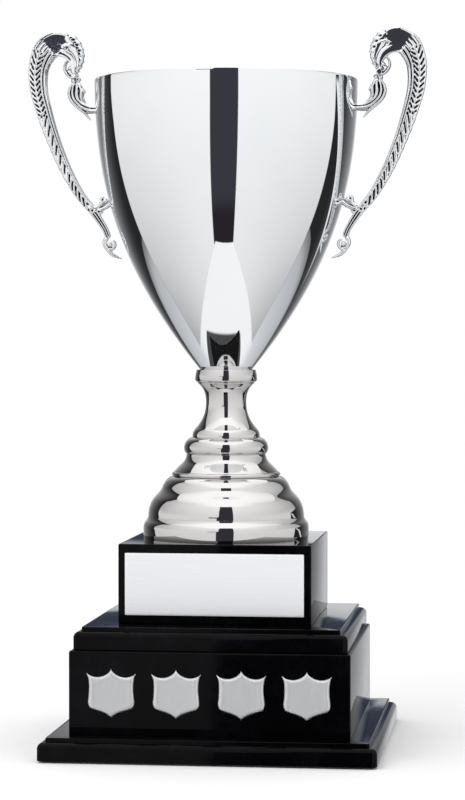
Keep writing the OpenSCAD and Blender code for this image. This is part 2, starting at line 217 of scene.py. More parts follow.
def cast_plate_painted_shade(name, color, shade, dark):
    """Polished plate over a casting, with painted shade: the base colour turns dark in the recesses of the
    relief
    """
    n = new_material(name)
    cloud = n.noise(60, 4)
    wipe = n.noise(700, 4)
    # painted shade: where a point lies deeper than the surface around it, the base colour is mixed towards
    # the dark colour, in place of the dark reflections in the grooves
    recess = n.ramp(n.add("ShaderNodeAttribute", out="Fac", attribute_name="recess"), 0.06, 0.15)
    tint = n.mix(recess, n.mix(n.ramp(cloud, 0.35, 0.7), color, shade), dark)
    rough = n.plus(n.ramp(wipe, 0.4, 0.75, 0.02, 0.05), n.times(recess, 0.25))
    return n.surface(tint, rough, n.bump(wipe, 2e-6, 0.06), Metallic=1.0)


def lacquer(name):
    """Black gloss lacquer over board: orange peel, dust nibs and faint rub marks"""
    n = new_material(name)
    peel = n.noise(260, 2)
    rub = n.noise(35, 6, roughness=0.7)
    color = n.mix(n.ramp(rub, 0.45, 0.75), (0.0012, 0.0012, 0.0016), (0.004, 0.004, 0.006))
    rough = n.plus(n.ramp(rub, 0.4, 0.8, 0.035, 0.10), n.ramp(n.noise(1400, 2), 0.62, 0.75, 0.0, 0.08))
    return n.surface(color, rough, n.bump(peel, 8e-6, 0.35), Specular_IOR_Level=0.07)


def bare_wood(name, light, dark):
    """End and face grain of a pale wood part"""
    n = new_material(name)
    grain = n.noise(60, 6, (1, 1, 0.12), 0.6)
    pores = n.noise(900, 3, (1, 1, 0.08))
    color = n.mix(n.ramp(grain, 0.35, 0.7), light, dark)
    height = n.times(grain, pores)
    return n.surface(color, n.ramp(pores, 0.3, 0.7, 0.55, 0.85), n.bump(height, 1e-4, 0.5))


def turned_steel(name, color, shade, roughness):
    """Zinc plated steel: lathe marks and a mottled passivated tint"""
    n = new_material(name)
    mottle = n.noise(160, 5, roughness=0.65)
    marks = n.noise(260, 2, (0.2, 0.2, 9))
    tint = n.mix(n.ramp(mottle, 0.35, 0.7), color, shade)
    rough = n.ramp(mottle, 0.3, 0.75, roughness, roughness * 1.8)
    return n.surface(tint, rough, n.bump(marks, 1.5e-5, 0.4), Metallic=1.0)


def satin_plate(name, color, shade, grain_stretch, roughness, metal=1.0):
    """Satin aluminium with a fine grain along one way"""
    n = new_material(name)
    grain = n.noise(900, 3, grain_stretch, 0.6)
    cloud = n.noise(14, 2)
    uneven = n.plus(n.times(grain, 0.4), n.times(cloud, 0.6))
    tint = n.mix(n.ramp(uneven, 0.35, 0.7), color, shade)
    rough = n.ramp(grain, 0.25, 0.75, roughness * 0.85, roughness * 1.15)
    return n.surface(tint, rough, n.bump(grain, 6e-6, 0.12), Metallic=metal)


def moulded_plastic(name, color, shade):
    n = new_material(name)
    texture = n.noise(1100, 3)
    cloud = n.noise(25, 3)
    rough = n.ramp(texture, 0.3, 0.7, 0.45, 0.6)
    return n.surface(n.mix(cloud, color, shade), rough, n.bump(texture, 3e-5, 0.4))


def felt(name):
    """Pressed wool felt: matted fibres in two directions, faint pilling"""
    n = new_material(name)
    fibre_a = n.noise(700, 4, (1, 0.12, 1), 0.7)
    fibre_b = n.noise(700, 4, (0.12, 1, 1), 0.7)
    mat = n.larger(fibre_a, fibre_b)
    pill = n.noise(180, 3)
    color = n.mix(n.ramp(mat, 0.45, 0.75), (0.003, 0.010, 0.006), (0.012, 0.035, 0.021))
    height = n.plus(mat, n.times(pill, 0.6))
    rough = n.ramp(mat, 0.3, 0.8, 0.9, 1.0)
    return n.surface(color, rough, n.bump(height, 2.5e-4, 0.8), Sheen_Weight=0.35, Sheen_Roughness=0.5)


# ---- meshes ----

def around(count):
    """Angles of a full turn"""
    return np.arange(count) / count * TAU


def circle(radius, turn, x=0, y=0):
    """Points about (x, y) at these angles"""
    return np.stack([x + radius * np.cos(turn), y + radius * np.sin(turn)], 1)


def at_height(flat, z):
    return np.column_stack([flat, np.full(len(flat), z)])


def at_depth(flat, y):
    """Points of (x, z) at this Y"""
    return at_height(flat, y)[:, [0, 2, 1]]


def mesh_of(name, vertices, faces):
    """A mesh in metres from vertices in millimetres"""
    mesh = bpy.data.meshes.new(name)
    mesh.from_pydata((np.asarray(vertices, float) * MM).tolist(), [], [list(map(int, f)) for f in faces])
    return mesh


def add_piece(name, vertices, faces, material, slot, nodes, sharp=32):
    """A mesh piece that rides on the one body and stands for the given CAD nodes"""
    return add_mesh(name, mesh_of(name, vertices, faces), material, nodes, sharp)


def add_mesh(name, mesh, material, nodes, sharp=32):
    bm = bmesh.new()
    bm.from_mesh(mesh)
    bmesh.ops.remove_doubles(bm, verts=bm.verts, dist=1e-7)
    bmesh.ops.recalc_face_normals(bm, faces=bm.faces)
    for face in bm.faces:
        face.smooth = True
    for edge in bm.edges:
        if len(edge.link_faces) == 2 and edge.calc_face_angle(0) > math.radians(sharp):
            edge.smooth = False
    bm.to_mesh(mesh)
    bm.free()
    mesh.materials.clear()
    mesh.materials.append(material)
    piece = linked(name, mesh)
    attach(piece, "root")
    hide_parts(*nodes)
    return piece


def cubic(a, b, c, d, steps):
    t = np.linspace(0, 1, steps, endpoint=False)[:, None]
    a, b, c, d = (np.array(p, float) for p in (a, b, c, d))
    return (1 - t) ** 3 * a + 3 * t * (1 - t) ** 2 * b + 3 * t * t * (1 - t) * c + t ** 3 * d


def path(start, *pieces, steps=24):
    """A line from start. Three points are a cubic curve onward, and one point is a straight step."""
    rows = []
    for piece in pieces:
        if hasattr(piece[0], "__len__"):
            rows.append(cubic(start, *piece, steps))
            start = piece[2]
        else:
            rows.append([start])
            start = piece
    return np.vstack([*rows, [start]])


def rounded(points, radius):
    """A closed outline with each corner rounded where it turns by 30 degrees or more"""
    t = np.linspace(0, 1, 5)[:, None]
    out = []
    count = len(points)
    for i, p in enumerate(points):
        before, after = points[i - 1] - p, points[(i + 1) % count] - p
        la, lb = np.hypot(*before), np.hypot(*after)
        turn = math.pi - math.acos(np.clip(before @ after / (la * lb), -1, 1))
        if turn < math.radians(30):
            out.append(p)
            continue
        cut = min(radius * math.tan(turn / 2), 0.45 * la, 0.45 * lb)
        start, end = p + before / la * cut, p + after / lb * cut
        out.extend((1 - t) ** 2 * start + 2 * t * (1 - t) * p + t * t * end)
    return np.array(out)


def lathe_mesh(profile, segments):
    """A closed outline of (radius, height) turned about the axis"""
    radius, height = profile.T
    turn = around(segments)[:, None]
    x, y = np.cos(turn) * radius, np.sin(turn) * radius
    z = np.broadcast_to(height, x.shape)
    count = len(profile)
    a = np.arange(segments)[:, None] * count + np.arange(count)
    b = np.roll(a, -1, 0)
    faces = np.stack([a, b, np.roll(b, -1, 1), np.roll(a, -1, 1)], -1).reshape(-1, 4)
    return np.stack([x, y, z], -1).reshape(-1, 3), faces


def inside_line(line, wall):
    """The line moved to its inner side by the wall"""
    along = np.gradient(line, axis=0)
    along /= np.hypot(along[:, 0], along[:, 1])[:, None]
    return line + np.stack([-along[:, 1], along[:, 0]], 1) * wall


def add_turned(name, profile, material, corner):
    add_piece(name, *lathe_mesh(rounded(profile, corner), 224), material, "plated_stem", [name])


def bored(line):
    """An outer line closed by flat ends down to the rod's hole"""
    return np.vstack([[(ROD_HOLE, line[0][1])], line, [(ROD_HOLE, line[-1][1])]])


def loft(rings):
    """Closed mesh over rings of equal length, with flat ends"""
    rings = [np.asarray(r) for r in rings]
    count = len(rings[0])
    vertices = np.vstack(rings)
    faces = []
    for i in range(len(rings) - 1):
        for k in range(count):
            m = (k + 1) % count
            faces.append((i * count + k, i * count + m, (i + 1) * count + m, (i + 1) * count + k))
    faces.append(range(count - 1, -1, -1))
    faces.append(range((len(rings) - 1) * count, len(rings) * count))
    return vertices, faces


def square_ring(half, corner, z, steps):
    """A square of rounded corners, from the middle of its right side round"""
    points = []
    for k in range(4):
        start = k * math.pi / 2
        x, y = circle((half - corner) * math.sqrt(2), np.array([start + math.pi / 4]))[0]
        points.append(circle(corner, start + np.linspace(0, math.pi / 2, steps), x, y))
    return at_height(np.vstack(points), z)


def edge_arc(inset, z, radius, start, end, steps):
    """(inset, height) points of an arc about (inset, z); 0 degrees looks outward, 90 up"""
    turn = np.radians(np.linspace(start, end, steps))
    return [(inset - radius * math.cos(t), z + radius * math.sin(t)) for t in turn]


def bores(places, radius, z0, z1):
    """Round cutters from z0 to z1 at these places"""
    return [[at_height(circle(radius, around(48), x, y), z) for z in (z0, z1)] for x, y in places]


def temporary(name, vertices, faces):
    """An object with its faces turned outward, for modifiers"""
    mesh = mesh_of(name, vertices, faces)
    bm = bmesh.new()
    bm.from_mesh(mesh)
    bmesh.ops.recalc_face_normals(bm, faces=bm.faces)
    bm.to_mesh(mesh)
    bm.free()
    return linked(name, mesh)


def modify(body, kind, **settings):
    configured(body.modifiers.new(kind, kind), **settings)


def cut(vertices, faces, cutters, name):
    """The mesh with each cutter's loft taken out of it"""
    body = temporary(name + "_body", vertices, faces)
    tools = [temporary(name + "_tool", *loft(c)) for c in cutters]
    for tool in tools:
        modify(body, "BOOLEAN", operation="DIFFERENCE", solver="EXACT", object=tool)
    return applied(body, tools)


def applied(body, others=()):
    """The mesh of a temporary object with its modifiers applied. The objects go."""
    bpy.context.view_layer.update()
    graph = bpy.context.evaluated_depsgraph_get()
    mesh = bpy.data.meshes.new_from_object(body.evaluated_get(graph))
    for thing in (body, *others):
        bpy.data.objects.remove(thing)
    return mesh


# ---- cup ----

def bowl_line(steps):
    """The bowl's outer side, from its flat bottom to just below the rim, as (radius, height)"""
    lower, upper = (82.2, Z_BOWL + 77.6), (BOWL_RADIUS, Z_RIM - 69.7)
    return path((19, Z_BOWL), (lower, upper, (BOWL_RADIUS, Z_RIM)), steps=steps)[:-1]


def bowl_radius(z):
    line = bowl_line(200)
    return np.interp(z, line[:, 1], line[:, 0], right=0)


def half_round(radius, z, half, start, end, count):
    """(radius, height) points of an arc of this half thickness, whose outermost point is at radius"""
    return circle(half, np.linspace(start, end, count), radius - half, z)


def add_cup(chrome, nickel):
    line = np.vstack([bowl_line(120), [[BOWL_RADIUS, Z_RIM - SHEET / 2]]])
    inner = inside_line(line, SHEET)
    inner = inner[inner[:, 1] > Z_BOWL + SHEET + 0.6]
    lip = half_round(BOWL_RADIUS, Z_RIM - SHEET / 2, SHEET / 2, 0, math.pi, 13)[1:-1]
    floor_r = inner[0][0]
    profile = np.vstack([
        [[ROD_HOLE, Z_BOWL]], line[:1] - [[0.4, 0]], line, lip, inner[::-1],
        [[floor_r - 0.5, Z_BOWL + SHEET + 0.15], [floor_r - 1.4, Z_BOWL + SHEET], [ROD_HOLE, Z_BOWL + SHEET]],
    ])
    add_piece("bowl_shell", *lathe_mesh(profile, 360), chrome, "plated_bowl", ["bowl"])

    collar = np.array([
        (20.8, Z_COLLAR), (22.2, Z_COLLAR + 0.9), (22.7, Z_COLLAR + 2),
        (22.4, Z_BOWL - 4), (21.6, Z_BOWL - 0.4), (21.2, Z_BOWL),
    ])
    neck = path(
        (24.6, Z_NECK), ((24.7, Z_NECK + 3.2), (23.6, Z_NECK + 5), (22.4, Z_NECK + 6.2)),
        ((18.2, Z_NECK + 11), (14.7, Z_NECK + 16.4), (14.7, Z_NECK + 25.4)),
        ((14.7, Z_NECK + 31.4), (16.4, Z_NECK + 36), (20.4, Z_COLLAR - 0.8)), (20.8, Z_COLLAR),
    )
    knop = path(
        (28.9, Z_KNOP), (28.9, Z_KNOP + 0.4),
        ((31.5, Z_KNOP + 1.6), (31.7, Z_KNOP + 8.4), (27.2, Z_NECK - 1.2)), (24.9, Z_NECK),
    )
    cone = path(
        (38.2, Z_CONE), ((37.0, Z_CONE + 1.5), (35.0, Z_CONE + 3.5), (32.8, Z_CONE + 5.6)),
        ((30.8, Z_CONE + 7.5), (29.2, Z_CONE + 9.4), (28.9, Z_KNOP)),
    )
    ring_low = Z_RING - 0.9
    half = (Z_CONE - ring_low) / 2
    ring = half_round(39.6, ring_low + half, half, -math.pi / 2, math.pi / 2, 15)
    for name, line, corner in (
        ("bowl_collar", collar, 0.9), ("stem_neck", neck, 0.3), ("stem_knop", knop, 0.5),
        ("stem_cone", cone, 0.2), ("stem_ring", ring, 0.2),
    ):
        add_turned(name, bored(line), nickel, corner)

    dome = path(
        (56.9, Z_DOME), ((56.7, Z_DOME + 5.2), (55.6, Z_DOME + 8.8), (53.4, Z_DOME + 12.4)),
        ((51.2, Z_DOME + 15.6), (47.9, Z_DOME + 17.6), (46.5, Z_DOME + 21.2)),
        ((45.2, Z_DOME + 24.8), (43.0, Z_DOME + 28), (39.2, ring_low)), steps=40,
    )
    inner = dome[dome[:, 1] < ring_low - 2 * SHEET] - [SHEET, 0]
    under = ring_low - SHEET
    flat_top = [[ROD_HOLE, ring_low], [ROD_HOLE, under], [inner[-1][0] - 3.6, under]]
    add_turned("foot_dome", np.vstack([dome, flat_top, inner[::-1]]), nickel, 0.06)
    rim = path(
        (60.0, Z_FOOT), ((60.2, Z_FOOT + 1.2), (60.4, Z_FOOT + 3.2), (60.4, Z_FOOT + 5.6)),
        ((60.4, Z_FOOT + 8.8), (60.2, Z_FOOT + 10.4), (58.9, Z_FOOT + 12.2)),
        ((58.0, Z_FOOT + 13.2), (57.1, Z_FOOT + 14.4), (56.9, Z_DOME)), steps=40,
    )
    inner = rim[rim[:, 1] < Z_DOME - SHEET] - [SHEET, 0]
    under = Z_DOME - SHEET
    ledge = [[53, Z_DOME], [53, under], [inner[-1][0] - 0.6, under]]
    add_turned("foot_rim", np.vstack([rim, ledge, inner[::-1]]), nickel, 0.06)


# ---- handles ----

VOXEL = 0.33


def spline(rows, step):
    """A smooth curve through the rows, sampled every step of its length"""
    p = np.array(rows, float)
    ends = np.vstack([2 * p[0] - p[1], p, 2 * p[-1] - p[-2]])
    t = np.linspace(0, 1, 24, endpoint=False)[:, None]
    dense = []
    for a, b, c, d in zip(ends, ends[1:], ends[2:], ends[3:]):
        square, cube = 2 * a - 5 * b + 4 * c - d, 3 * b - a - 3 * c + d
        dense.append(0.5 * (2 * b + (c - a) * t + square * t ** 2 + cube * t ** 3))
    dense = np.vstack(dense + [p[-1:]])
    length = np.concatenate([[0], np.cumsum(np.hypot(*np.diff(dense[:, :2], axis=0).T))])
    at = np.linspace(0, length[-1], max(8, int(length[-1] / step)))
    return at, np.stack([np.interp(at, length, column) for column in dense.T], 1)


def bar(rows, flatness=1.0, step=0.5, segments=48, relief=None, flat_until=None):
    """A bar of oval section along rows of (x, height, half width, half depth), with rounded ends.
    relief(s, t, width) gives what is added to the depth and to the outer edge. Up to flat_until
    along its length both faces are level and only the edges are rounded."""
    s, line = spline(rows, step)
    x, h, width, depth = line.T
    along = np.gradient(line[:, :2], axis=0)
    along /= np.hypot(along[:, 0], along[:, 1])[:, None]
    ends = np.minimum(s, s[-1] - s)
    close = np.sqrt(np.clip(1 - (1 - np.clip(ends / np.maximum(width, 0.4), 0, 1)) ** 2, 0.004, 1))
    flat = np.zeros_like(s) if flat_until is None else window(s, -99, flat_until, 6)
    width, depth = width * close, depth * (close + (1 - close) * flat)
    t, face = circle(1, around(segments)).T[:, None, :]
    out = width[:, None] * t
    section = np.abs(face) ** flatness
    level = np.sqrt(1 - (1 - np.clip(np.abs(face) / 0.5, 0, 1)) ** 2)
    section = section + (level - section) * flat[:, None]
    deep = depth[:, None] * np.sign(face) * section
    if relief is not None:
        raised, pushed = relief(s[:, None], t + 0 * s[:, None], width[:, None])
        deep = deep + np.sign(face) * np.abs(face) ** 0.5 * raised * close[:, None]
        out = out + pushed * close[:, None]
    px = x[:, None] - along[:, 1:2] * out
    pz = h[:, None] + along[:, 0:1] * out
    rings = np.stack([px, deep, pz], -1)
    return loft(list(rings))


def ball(x, h, radius, depth):
    """A ball that is round seen along Y and has its own half depth"""
    rings = []
    for a in np.linspace(-math.pi / 2, math.pi / 2, 15)[1:-1]:
        flat = circle(radius * math.cos(a), around(28), x, h)
        rings.append(at_depth(flat, depth * math.sin(a)))
    return loft(rings)


def hoop(x, h, radius, tube, depth):
    """A ring seen along Y"""
    line = circle(radius, np.linspace(0, TAU, 25), x, h)
    return bar(np.column_stack([at_height(line, tube), np.full(25, depth)]), 0.8, 0.5, 20)


def window(value, a, b, soft):
    """1 between a and b, 0 outside, with soft shoulders"""
    rise = np.clip((value - a) / soft + 0.5, 0, 1)
    fall = np.clip((b - value) / soft + 0.5, 0, 1)
    return (rise * rise * (3 - 2 * rise)) * (fall * fall * (3 - 2 * fall))


# The handle's body from the head's inner tip down to the tail, above the bowl's bottom: (x, height,
# half width, half depth)
BODY = [
    (115.4, 241.8, 2.4, 4.7), (118.4, 241, 5.2, 4.7), (122, 239.6, 7.4, 4.7), (127, 237.4, 8.9, 4.7),
    (133.5, 232.2, 8.8, 4.7), (138.2, 220, 7.4, 4.7), (138, 204, 6.4, 4.4), (134, 188, 5.7, 4),
    (127.3, 168, 4.8, 3.8), (118.5, 147, 4.1, 3.6), (108, 128, 3.5, 3.4), (97.5, 115, 2.9, 3.2),
    (89.5, 103, 2.2, 2.9), (86.4, 95.5, 2.2, 2.9),
]


def body_landmarks():
    """Where along the body the ear starts and ends, the leaves end and the cuts end"""
    s, line = spline(BODY, 0.5)

    def at(x, h):
        return s[np.argmin(np.hypot(line[:, 0] - x, line[:, 1] - h))]

    return at(136.5, 228.5), at(132, 184), at(113, 137), at(98, 115.5)


def groove(distance, half):
    """A round-bottomed groove, 1 at its middle and 0 beyond its half width"""
    return np.sqrt(np.clip(1 - (distance / half) ** 2, 0, 1))


def body_relief(s, t, width):
    """Flat head with flutes, a wheat ear, sheath leaves and slanted cuts, beside a double cord"""
    ear_start, ear_end, leaf_end, cut_end = body_landmarks()
    across = t * width
    raised = np.zeros_like(t + s)
    pushed = np.zeros_like(raised)

    flutes = window(s, ear_start - 8, ear_start, 3) * window(t, -0.1, 0.86, 0.15)
    raised += flutes * 0.4 * np.clip(np.cos((t - 0.74) * TAU / 0.34) - 0.8, 0, 1) / 0.2
    lifted_rim = window(s, -9, ear_start + 3, 4)
    raised += lifted_rim * 0.45 * window(t, 0.86, 1.1, 0.08)

    corded = window(s, ear_start - 7, cut_end + 2, 5)
    for middle, half in ((-0.75, 0.15), (-0.44, 0.12)):
        raised += corded * 0.5 * groove(t - middle, half)
    for middle, half in ((-0.95, 0.07), (-0.585, 0.075), (-0.28, 0.06)):
        raised -= corded * 1.3 * groove(t - middle, half)

    rib = 0.28
    ear = window(s, ear_start - 3, ear_end, 2) * window(t, -0.27, 0.86, 0.06)
    v = np.abs(t - rib) * width
    phase = ((s + 1.1 * v) / 3.8) % 1
    slash = groove(phase - 0.5, 0.30) * window(np.abs(t - rib), 0.09, 2, 0.05)
    raised -= ear * 1.5 * slash
    raised += ear * 0.5 * groove(t - rib, 0.13)

    leaves = window(s, ear_end - 3, leaf_end, 3)
    phase = ((s - 1.9 * across) / 7.6) % 1
    raised -= leaves * 1.8 * groove(phase - 0.5, 0.17) * window(t, -0.22, 0.52, 0.2)
    raised -= leaves * 1.0 * groove(phase - 0.82, 0.07) * window(t, -0.05, 0.86, 0.15)
    pushed += leaves * 0.35 * groove(phase - 0.4, 0.35) * window(t, 0.6, 1.3, 0.3)

    cuts = window(s, leaf_end, cut_end, 2) * window(t, -0.24, 0.84, 0.06)
    phase = ((s - 1.6 * across) / 5.0) % 1
    raised -= cuts * 1.8 * groove(phase - 0.5, 0.27)

    tail = window(s, cut_end + 1, 999, 3)
    for middle in (-0.34, 0.34):
        raised -= tail * 1.6 * groove(t - middle, 0.20)
    return raised, pushed


def fan_relief(s, t, width):
    """Short slashes and small scallops along the outer edge of the fan"""
    phase = ((s + 0.5 * t * width) / 4.3) % 1
    slash = groove(phase - 0.5, 0.22)
    raised = -1.6 * slash * window(t, -1.1, -0.15, 0.12) * (1 - 0.6 * window(s, 17, 99, 6))
    pushed = 0.6 * groove(phase - 0.5, 0.4) * window(t, -1.3, -0.7, 0.3)
    return raised, pushed


# A fan of small leaves on the inner side of the head: (x, height, half width, half depth)
FAN = [
    (118.8, 244.2, 1.8, 4.9), (116.6, 242.6, 3.4, 5), (114.3, 240.4, 4.6, 5), (112.2, 237.8, 5.1, 5),
    (110.4, 234.8, 5.1, 4.9), (109.1, 231.4, 4.8, 4.7), (108.1, 227.8, 4.1, 4.5), (108, 224, 3.1, 4.3),
    (108.6, 220.4, 2.1, 4), (110.2, 216.4, 1.3, 3.6),
]
# Its longest leaf lies on the flat head
FAN_LEAF = [
    (109, 233.6, 1.6, 4.6), (112.6, 236, 2.3, 5.2), (116.4, 236.6, 1.7, 5.3), (120.4, 235.4, 0.4, 5),
]
# The flat head runs on as a tapering crescent into the scroll, with one raised line
CRESCENT = [
    (126, 234.4, 5.6, 4.7), (119.6, 231.6, 3.6, 4.7), (115, 228.4, 3, 4.7), (112.4, 224.2, 2.4, 4.7),
    (111.7, 220, 1.6, 4.6), (112.6, 216.6, 1.1, 4.2),
]
CRESCENT_LINE = [
    (121.4, 233, 0.3, 4.9), (117.4, 231.4, 0.55, 5.2), (113.4, 228.2, 0.6, 5.2), (111.3, 223.6, 0.6, 5.2),
    (111, 219.4, 0.5, 5), (112.2, 216.6, 0.4, 4.6),
]
SCROLL_RIM = [
    (116, 226, 0.7, 4.4), (118.2, 223.2, 0.95, 4.5), (118.9, 219.8, 1.05, 4.5), (117.6, 216.2, 1, 4.3),
    (114.8, 213.4, 0.9, 4), (111.8, 212.4, 0.8, 3.6),
]
# Curved strands of the leg that carries the head on the bowl, on a low web
STRANDS = [
    [(112, 209.6, 0.7, 3.2), (114.7, 205.4, 1.1, 3.6), (115.6, 201.2, 1.2, 3.7), (114.6, 197.6, 1.2, 3.7),
     (112.2, 194.2, 1.2, 3.6), (108.6, 191, 1.2, 3.4), (104.8, 187.8, 1.1, 3), (102, 184.8, 0.9, 2.4),
     (99.8, 181.8, 0.4, 1.2)],
    [(111.2, 209.4, 0.7, 3.6), (112.6, 205, 0.95, 4.2), (112.8, 201, 1.05, 4.4), (111.7, 197.2, 1.1, 4.4),
     (109, 194, 1.2, 4.2), (105.2, 191, 1.3, 4), (100.4, 189.2, 1.5, 3.8), (95.6, 188.8, 1.7, 3.8),
     (90, 189, 1.8, 3.8)],
    [(109.8, 208.8, 0.8, 3.8), (109.6, 204.6, 1.3, 4.5), (109.8, 201, 1.45, 4.7), (108.9, 197.4, 1.3, 4.6),
     (106.2, 194.4, 1.1, 4.2), (102.6, 192.2, 0.9, 3.8), (98.6, 191.2, 0.8, 3.5), (93, 191.4, 0.8, 3.3)],
    [(108, 207.4, 0.7, 3.4), (106.5, 204.2, 1.3, 4), (106.4, 201, 1.45, 4.2), (106.6, 198.2, 1.2, 4),
     (105.4, 195.6, 0.9, 3.4), (103.4, 193.8, 0.4, 2.2)],
    [(106.6, 205.8, 0.7, 2.8), (104.8, 203.6, 0.8, 3), (103.6, 201.6, 0.4, 2.2)],
]
LEG_WEB = [
    (110.6, 211, 1.8, 2.2), (110.2, 206, 4.4, 2.4), (110, 201.4, 5.6, 2.4), (108.8, 197.2, 4.6, 2.4),
    (105, 192.8, 3, 2.4), (99, 190.2, 2.2, 2.4), (91, 189.6, 2.2, 2.4),
]
# The two strands and the leaf that carry the lower end on the bowl
LOWER_FOOT = [
    [(103.5, 119.6, 1.6, 3), (98.5, 117.8, 1.6, 3.2), (94.2, 118.8, 1.5, 3.3), (91.6, 121.4, 1.3, 3.3),
     (92.2, 124.2, 1, 3), (89.8, 125.8, 1, 3)],
    [(97.8, 116.4, 1.4, 2.8), (92.6, 116.8, 1.4, 3), (88.2, 118.6, 1.6, 3.3), (84.4, 121.2, 1.9, 3.6),
     (79, 122.8, 2.2, 3.8)],
    [(95.4, 113.8, 0.8, 2.4), (92.8, 113.9, 1, 2.4), (90.4, 115.4, 0.5, 1.6)],
]
TAIL_SCROLL = [
    (87.6, 96.4, 2, 2.9), (89.6, 92.4, 1.5, 3), (88, 88.4, 1.3, 3), (84.2, 87.6, 1.2, 2.9),
    (81.8, 90.2, 1.1, 2.8), (82.4, 93.2, 0.9, 2.7), (85, 94.2, 0.6, 2.6),
]
TAIL_TIP = [(88.6, 90, 1.4, 2.6), (84.8, 84.6, 1.5, 2.2), (80.6, 82.2, 1, 1.7), (76.6, 80.8, 0.4, 0.9)]
# The boss inside the scroll, and the small leaf on the outer side of the head
BOSS = [(109.2, 214.6, 2.2, 5.3), (111.4, 214.6, 2.7, 5.3), (113.6, 214.6, 2.2, 5.3)]
OUTER_LEAF = [
    (138, 226.5, 1.6, 3.2), (139.8, 232, 1.5, 2.8), (140, 236, 1, 2), (139.7, 239.4, 0.3, 0.8),
]


def handle_parts():
    """The closed solids that are melted into the right handle"""
    parts = [
        bar(BODY, 0.45, 0.35, 160, body_relief, flat_until=body_landmarks()[0]),
        bar(CRESCENT, 0.45, 0.35, 96, flat_until=999),
        bar(FAN, 0.45, 0.35, 120, fan_relief),
        bar(FAN_LEAF, 0.7, 0.4, 40),
        bar(CRESCENT_LINE, 0.9, 0.4, 24),
        bar(BOSS, 0.6, 0.35, 64, flat_until=99),
        bar(OUTER_LEAF, 0.9),
        bar(LEG_WEB, 0.6, 0.4, 48),
        hoop(108.7, 211.6, 1.2, 0.55, 3.0),
    ]
    for rows in [SCROLL_RIM, *STRANDS, *LOWER_FOOT, TAIL_SCROLL, TAIL_TIP]:
        parts.append(bar(rows, 0.8, 0.4, 32))
    for x, h, radius, depth in (
        (114.3, 220.0, 1.9, 4.9), (113.9, 217.4, 3.4, 2.6), (112.4, 210.6, 1.8, 4.2),
        (88.9, 123.0, 1.9, 3.9), (84.6, 125.4, 1.6, 3.4), (85.6, 91.0, 2.0, 3.4),
    ):
        parts.append(ball(x, h, radius, depth))
    return parts


def points_of(mesh, name="co"):
    """The points or the normals of a mesh as rows"""
    flat = np.zeros(len(mesh.vertices) * 3)
    mesh.vertices.foreach_get(name, flat)
    return flat.reshape(-1, 3)


def mark_recesses(mesh):
    """Stores how deep each point lies below the surface around it, in millimetres"""
    co, normal = points_of(mesh), points_of(mesh, "normal")
    ends = np.zeros(len(mesh.edges) * 2, dtype=np.int32)
    mesh.edges.foreach_get("vertices", ends)
    count = np.bincount(ends, minlength=len(co))[:, None]
    start, end = ends[::2], ends[1::2]
    even = co.copy()
    for _ in range(14):
        columns = []
        for column in even.T:
            from_end = np.bincount(start, column[end], len(co))
            columns.append(from_end + np.bincount(end, column[start], len(co)))
        even = 0.4 * even + 0.6 * np.stack(columns, 1) / np.maximum(count, 1)
    depth = ((even - co) * normal).sum(axis=1) / MM
    mesh.attributes.new("recess", "FLOAT", "POINT").data.foreach_set("value", depth.astype(np.float32))


def joined(parts):
    """Several meshes of (vertices, faces) as one"""
    vertices, faces, count = [], [], 0
    for v, f in parts:
        vertices.append(v)
        faces += [[k + count for k in face] for face in f]
        count += len(v)
    return np.vstack(vertices), faces


def handle_mesh():
    """The right handle as one closed skin that ends on the bowl"""
    vertices, faces = joined(handle_parts())
    body = temporary("handle_parts", vertices + [0, 0, Z_BOWL], faces)
    modify(body, "REMESH", mode="VOXEL", voxel_size=VOXEL * MM, adaptivity=0)
    modify(body, "SMOOTH", factor=0.5, iterations=4)
    mesh = applied(body)
    co = points_of(mesh)
    radius = np.hypot(co[:, 0], co[:, 1])
    wanted = (bowl_radius(co[:, 2] / MM) + 0.05) * MM
    inside = radius < wanted
    co[inside, :2] *= (wanted[inside] / np.maximum(radius[inside], 1e-6))[:, None]
    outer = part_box("handle_right")[1]
    co[:, 0] = np.minimum(co[:, 0], outer.x)
    co[:, 2] = np.minimum(co[:, 2], outer.z)
    mesh.vertices.foreach_set("co", co.ravel())
    mesh.update()
    mark_recesses(mesh)
    return mesh


def add_handles(chrome):
    right = handle_mesh()
    left = right.copy()
    left.vertices.foreach_set("co", (points_of(left) * [-1, 1, 1]).ravel())
    for side, mesh in (("right", right), ("left", left)):
        add_mesh(f"handle_{side}_casting", mesh, chrome, ["handle_" + side], 180)


# ---- base ----

BOARD_THICK = 16
PANEL_THICK = 12
SCREW_BORE = 2.05
WIDE_BORE = 4.05   # screw heads, dowels and the rod's nut
CORNERS = [(x, y) for x in (-74, 74) for y in (-74, 74)]
BESIDE_ROD = [(-40, 0), (40, 0)]


def moulded_board(half, z):
    """A board with a quarter round, a small step and a level top"""
    step_z = BOARD_THICK - 3
    edge = [(0.8, 0)] + edge_arc(0.8, 0.8, 0.8, -90, 0, 4)[1:]
    edge += edge_arc(4.5, step_z - 4.5, 4.5, 0, 88, 12)
    edge += [(5.0, step_z - 0.02), (5.35, step_z), (5.4, step_z + 0.06)]
    edge += edge_arc(5.4 + 0.7, BOARD_THICK - 0.7, 0.7, 0, 90, 6)
    return loft([square_ring(half - inset, max(1.6, 4.0 - inset * 0.6), z + up, 10) for inset, up in edge])


